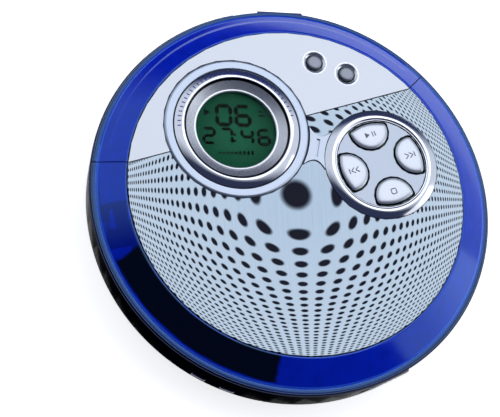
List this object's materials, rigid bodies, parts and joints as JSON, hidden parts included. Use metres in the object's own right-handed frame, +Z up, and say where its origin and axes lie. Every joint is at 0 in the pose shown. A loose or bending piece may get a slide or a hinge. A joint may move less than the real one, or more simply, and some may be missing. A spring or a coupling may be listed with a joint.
{
  "type": "portable disc player",
  "caption": "Round portable disc player: hinged translucent blue lid with display and leaf keys over a disc well, spindle, sliding pickup, battery bay and wall keys.",
  "frame": {"origin": "middle of the bounding box at the bottom, on the surface that the rubber feet stand on", "axes": "+Z up, +Y towards the lid's hinge at the rear, +X to the right as the player is used"},
  "size_m": [0.138, 0.138, 0.0285],
  "materials": {
    "case_black": "gloss, blue-black",
    "deck_black": "fine matte grain",
    "foot_rubber": "matte",
    "contact_steel": "plated sheet",
    "board_green": "solder mask",
    "chip_black": "moulded",
    "key_navy": "gloss",
    "slider_grey": "satin",
    "chassis_steel": "plated sheet",
    "rod_steel": "ground",
    "motor_steel": "drawn can",
    "mechanism_black": "fine matte",
    "gear_white": "natural",
    "pinion_brass": "cut",
    "lens_glass": "coated",
    "lid_blue": "translucent gloss",
    "liner_dark": "matte",
    "plate_blue_silver": "fine brushed with printed dots",
    "plate_silver": "satin",
    "satin_silver": "satin metallic",
    "mirror_silver": "polished",
    "cone_grey": "grained metallic",
    "window_clear": "polished",
    "panel_green": "liquid crystal panel",
    "small_key_grey": "satin metallic"
  },
  "bodies": {
    "base": {"bottom_case": "case_black", "deck": "deck_black", "rubber_foot_1": "foot_rubber", "rubber_foot_2": "foot_rubber", "rubber_foot_3": "foot_rubber", "rubber_foot_4": "foot_rubber", "battery_contact_link": "contact_steel", "battery_contact_plus": "contact_steel", "battery_contact_minus": "contact_steel", "main_board": "board_green", "servo_chip": "chip_black", "memory_chip": "chip_black", "phones_jack": "chip_black", "line_out_jack": "chip_black", "dc_jack": "chip_black", "mechanism_chassis": "chassis_steel", "guide_rod_left": "rod_steel", "guide_rod_right": "rod_steel", "chassis_damper_1": "foot_rubber", "chassis_damper_2": "foot_rubber", "chassis_damper_3": "foot_rubber", "chassis_damper_4": "foot_rubber", "spindle_motor": "motor_steel", "sled_motor": "motor_steel", "hinge_pin": "rod_steel"},
    "lid": {"lid_ring_front": "lid_blue", "lid_ring_rear": "lid_blue", "lid_liner": "liner_dark", "front_plate": "plate_blue_silver", "rear_plate": "plate_silver", "display_bezel": "satin_silver", "display_mirror_ring": "mirror_silver", "display_inner_ring": "cone_grey", "display_window": "window_clear", "display_panel": "panel_green", "console_bridge": "satin_silver", "pad_ring": "mirror_silver", "pad_web": "satin_silver", "key_board": "board_green", "lid_catch": "liner_dark"},
    "play_key": {"play_button": "satin_silver"},
    "next_key": {"next_button": "satin_silver"},
    "previous_key": {"previous_button": "satin_silver"},
    "stop_key": {"stop_button": "satin_silver"},
    "mode_key": {"mode_button": "small_key_grey"},
    "program_key": {"program_button": "small_key_grey"},
    "door": {"battery_door": "case_black"},
    "spindle": {"turntable": "mechanism_black", "spindle_shaft": "rod_steel"},
    "sled": {"pickup_sled": "mechanism_black", "sled_rack": "gear_white"},
    "lens_mover": {"lens_holder": "mechanism_black", "lens": "lens_glass"},
    "gear": {"drive_gear": "gear_white"},
    "pinion": {"motor_pinion": "pinion_brass"},
    "volume_down": {"volume_down_key": "key_navy"},
    "volume_up": {"volume_up_key": "key_navy"},
    "bass": {"bass_key": "key_navy"},
    "hold": {"hold_slider": "slider_grey"},
    "opener": {"open_slider": "slider_grey"}
  },
  "joints": [
    {"name": "lid_hinge", "type": "hinge", "parent": "base", "child": "lid", "pos_m": [0, 0.066, 0.0172], "axis": [-1, 0, 0], "range_deg": [0, 75]},
    {"name": "play_press", "type": "slide", "parent": "lid", "child": "play_key", "axis": [0, 0, -1], "range_m": [0, 0.0005], "stiffness_N_per_m": 200, "springref_m": -0.0005},
    {"name": "next_press", "type": "slide", "parent": "lid", "child": "next_key", "axis": [0, 0, -1], "range_m": [0, 0.0005], "stiffness_N_per_m": 200, "springref_m": -0.0005},
    {"name": "previous_press", "type": "slide", "parent": "lid", "child": "previous_key", "axis": [0, 0, -1], "range_m": [0, 0.0005], "stiffness_N_per_m": 200, "springref_m": -0.0005},
    {"name": "stop_press", "type": "slide", "parent": "lid", "child": "stop_key", "axis": [0, 0, -1], "range_m": [0, 0.0005], "stiffness_N_per_m": 200, "springref_m": -0.0005},
    {"name": "mode_press", "type": "slide", "parent": "lid", "child": "mode_key", "axis": [0, 0, -1], "range_m": [0, 0.0005], "stiffness_N_per_m": 200, "springref_m": -0.0005},
    {"name": "program_press", "type": "slide", "parent": "lid", "child": "program_key", "axis": [0, 0, -1], "range_m": [0, 0.0005], "stiffness_N_per_m": 200, "springref_m": -0.0005},
    {"name": "door_hinge", "type": "hinge", "parent": "base", "child": "door", "pos_m": [0, 0.0198, 0.002], "axis": [-1, 0, 0], "range_deg": [0, 90]},
    {"name": "spindle_spin", "type": "hinge", "parent": "base", "child": "spindle", "pos_m": [0, 0, 0.0192], "axis": [0, 0, 1], "continuous": true},
    {"name": "sled_slide", "type": "slide", "parent": "base", "child": "sled", "axis": [0, -1, 0], "range_m": [0, 0.0335]},
    {"name": "lens_focus", "type": "slide", "parent": "sled", "child": "lens_mover", "axis": [0, 0, 1], "range_m": [-0.0004, 0.0004], "stiffness_N_per_m": 150},
    {"name": "gear_spin", "type": "hinge", "parent": "base", "child": "gear", "pos_m": [0.02149, -0.0245, 0.0114], "axis": [0, 0, 1], "range_deg": [-2, 540]},
    {"name": "pinion_spin", "type": "hinge", "parent": "base", "child": "pinion", "pos_m": [0.02574, -0.03186, 0.0114], "axis": [0, 0, 1], "range_deg": [-1290, 5]},
    {"name": "volume_down_press", "type": "slide", "parent": "base", "child": "volume_down", "axis": [0.4894, 0.8721, 0], "range_m": [0, 0.0005], "stiffness_N_per_m": 300, "springref_m": -0.0005},
    {"name": "volume_up_press", "type": "slide", "parent": "base", "child": "volume_up", "axis": [0.3535, 0.9354, 0], "range_m": [0, 0.0005], "stiffness_N_per_m": 300, "springref_m": -0.0005},
    {"name": "bass_press", "type": "slide", "parent": "base", "child": "bass", "axis": [-0.9925, -0.1219, 0], "range_m": [0, 0.0005], "stiffness_N_per_m": 300, "springref_m": -0.0005},
    {"name": "hold_slide", "type": "slide", "parent": "base", "child": "hold", "axis": [-0.1392, -0.9903, 0], "range_m": [0, 0.003]},
    {"name": "open_slide", "type": "slide", "parent": "base", "child": "opener", "axis": [-0.9063, -0.4226, 0], "range_m": [0, 0.0035], "stiffness_N_per_m": 100, "springref_m": -0.001}
  ],
  "couplings": [
    {"joint": "gear_spin", "follows": "sled_slide", "rad_per_m": 277.78},
    {"joint": "pinion_spin", "follows": "sled_slide", "rad_per_m": -666.67}
  ]
}
